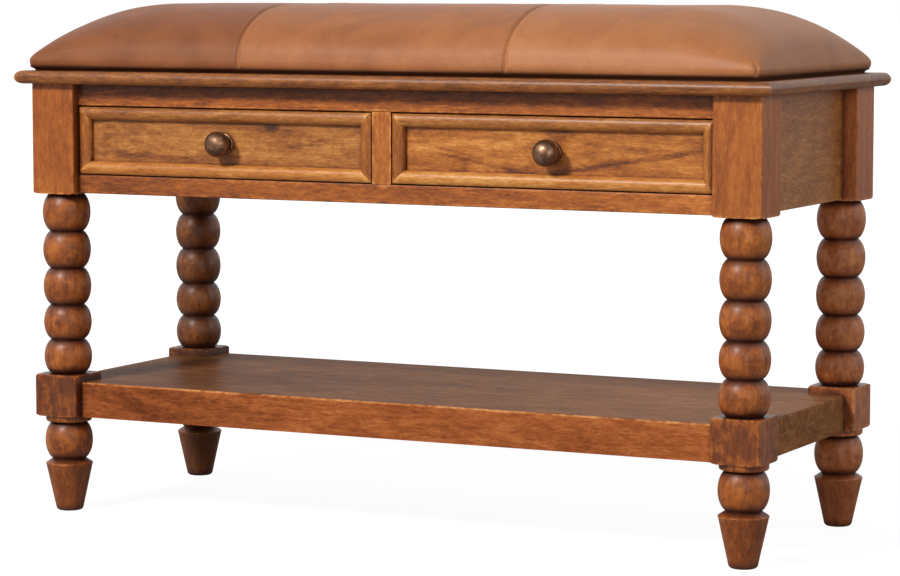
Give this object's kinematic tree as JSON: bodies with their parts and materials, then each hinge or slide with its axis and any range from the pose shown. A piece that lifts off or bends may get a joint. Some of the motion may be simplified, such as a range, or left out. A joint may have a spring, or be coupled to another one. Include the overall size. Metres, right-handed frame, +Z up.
{
  "type": "storage bench",
  "caption": "Long bench on bobbin-turned wooden legs, with a crowned leather seat, drawers with round knobs in its apron and a low open shelf.",
  "frame": {"origin": "on the floor, under the middle of the bench", "axes": "+X along the bench, to the right seen from the drawers; +Y from the front to the back; +Z up"},
  "size_m": [0.8, 0.328, 0.5095],
  "materials": {
    "leg_wood": "stained and waxed",
    "frame_wood": "stained and waxed",
    "drawer_wood": "stained and waxed",
    "inside_wood": "bare",
    "plywood": "bare",
    "leather": "soft satin",
    "seat_foam": "matte",
    "bronze": "dark antique",
    "screw_steel": "plain"
  },
  "bodies": {
    "frame": {"leg_front_left": "leg_wood", "leg_front_right": "leg_wood", "leg_rear_left": "leg_wood", "leg_rear_right": "leg_wood", "front_top_rail": "frame_wood", "front_bottom_rail": "frame_wood", "centre_stile": "frame_wood", "side_panel_left": "frame_wood", "side_panel_right": "frame_wood", "back_panel": "frame_wood", "top_board": "frame_wood", "shelf_board": "frame_wood", "shelf_rail_front": "frame_wood", "shelf_rail_rear": "frame_wood", "shelf_rail_left": "frame_wood", "shelf_rail_right": "frame_wood", "drawer_runner_left": "inside_wood", "drawer_runner_centre": "inside_wood", "drawer_runner_right": "inside_wood", "drawer_guide_centre": "inside_wood", "drawer_kicker_left": "inside_wood", "drawer_kicker_centre": "inside_wood", "drawer_kicker_right": "inside_wood", "shelf_dowels": "inside_wood", "seat_board": "plywood", "seat_foam": "seat_foam", "seat_leather_left": "leather", "seat_leather_middle": "leather", "seat_leather_right": "leather", "seat_screws": "screw_steel", "top_screws": "screw_steel"},
    "left_drawer": {"left_drawer_front": "drawer_wood", "left_drawer_moulding_top": "frame_wood", "left_drawer_moulding_bottom": "frame_wood", "left_drawer_moulding_left": "frame_wood", "left_drawer_moulding_right": "frame_wood", "left_drawer_side_left": "inside_wood", "left_drawer_side_right": "inside_wood", "left_drawer_back": "inside_wood", "left_drawer_bottom": "plywood", "left_drawer_knob": "bronze", "left_drawer_knob_rose": "bronze", "left_drawer_knob_screw": "screw_steel"},
    "right_drawer": {"right_drawer_front": "drawer_wood", "right_drawer_moulding_top": "frame_wood", "right_drawer_moulding_bottom": "frame_wood", "right_drawer_moulding_left": "frame_wood", "right_drawer_moulding_right": "frame_wood", "right_drawer_side_left": "inside_wood", "right_drawer_side_right": "inside_wood", "right_drawer_back": "inside_wood", "right_drawer_bottom": "plywood", "right_drawer_knob": "bronze", "right_drawer_knob_rose": "bronze", "right_drawer_knob_screw": "screw_steel"}
  },
  "joints": [
    {"name": "left_drawer_slide", "type": "slide", "parent": "frame", "child": "left_drawer", "axis": [0, -1, 0], "range_m": [0, 0.19]},
    {"name": "right_drawer_slide", "type": "slide", "parent": "frame", "child": "right_drawer", "axis": [0, -1, 0], "range_m": [0, 0.19]}
  ]
}
